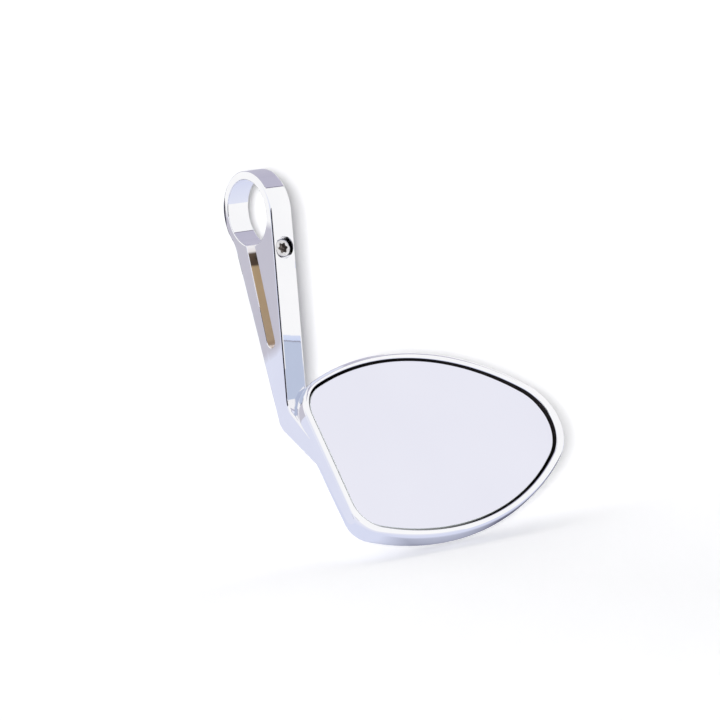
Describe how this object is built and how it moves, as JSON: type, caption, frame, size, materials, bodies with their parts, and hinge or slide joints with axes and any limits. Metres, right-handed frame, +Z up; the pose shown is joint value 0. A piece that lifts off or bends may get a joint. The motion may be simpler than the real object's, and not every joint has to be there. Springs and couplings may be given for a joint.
{
  "type": "motorcycle bar end mirror",
  "caption": "Bar end mirror: split clamp ring, slotted arm and egg-shaped housing in one chrome casting, with a convex glass aimed on a hidden ball joint.",
  "frame": {"origin": "centre of the clamp bore, at the middle of the arm's thickness", "axes": "+X along the clamp bore, outboard, the way the housing reaches; +Y forward, away from the rider; +Z up, from the housing to the clamp ring. The glass faces the rider, backwards and up."},
  "size_m": [0.1395, 0.0955, 0.1801],
  "materials": {
    "casting": "polished chrome plate on cast aluminium",
    "screw": "bright zinc-plated steel",
    "mirror": "silvered convex glass",
    "pad": "black adhesive foam",
    "carrier": "black moulded plastic",
    "cup": "natural nylon",
    "spring_clip": "spring steel strip",
    "stud": "turned steel"
  },
  "bodies": {
    "housing": {"arm_housing": "casting", "clamp_screw": "screw", "ball_stud": "stud"},
    "cup": {"bearing_cup": "cup"},
    "glass": {"mirror_glass": "mirror", "glass_pad": "pad", "glass_carrier": "carrier", "socket_ring": "spring_clip"}
  },
  "joints": [
    {"name": "glass_swivel", "type": "hinge", "parent": "housing", "child": "cup", "pos_m": [0.05608, -0.04224, -0.1185], "axis": [0, -0.5534, -0.8329], "range_deg": [-3, 3]},
    {"name": "glass_tilt", "type": "hinge", "parent": "cup", "child": "glass", "pos_m": [0.05608, -0.04224, -0.1185], "axis": [1, 0, 0], "range_deg": [-3.5, 3.5]}
  ]
}
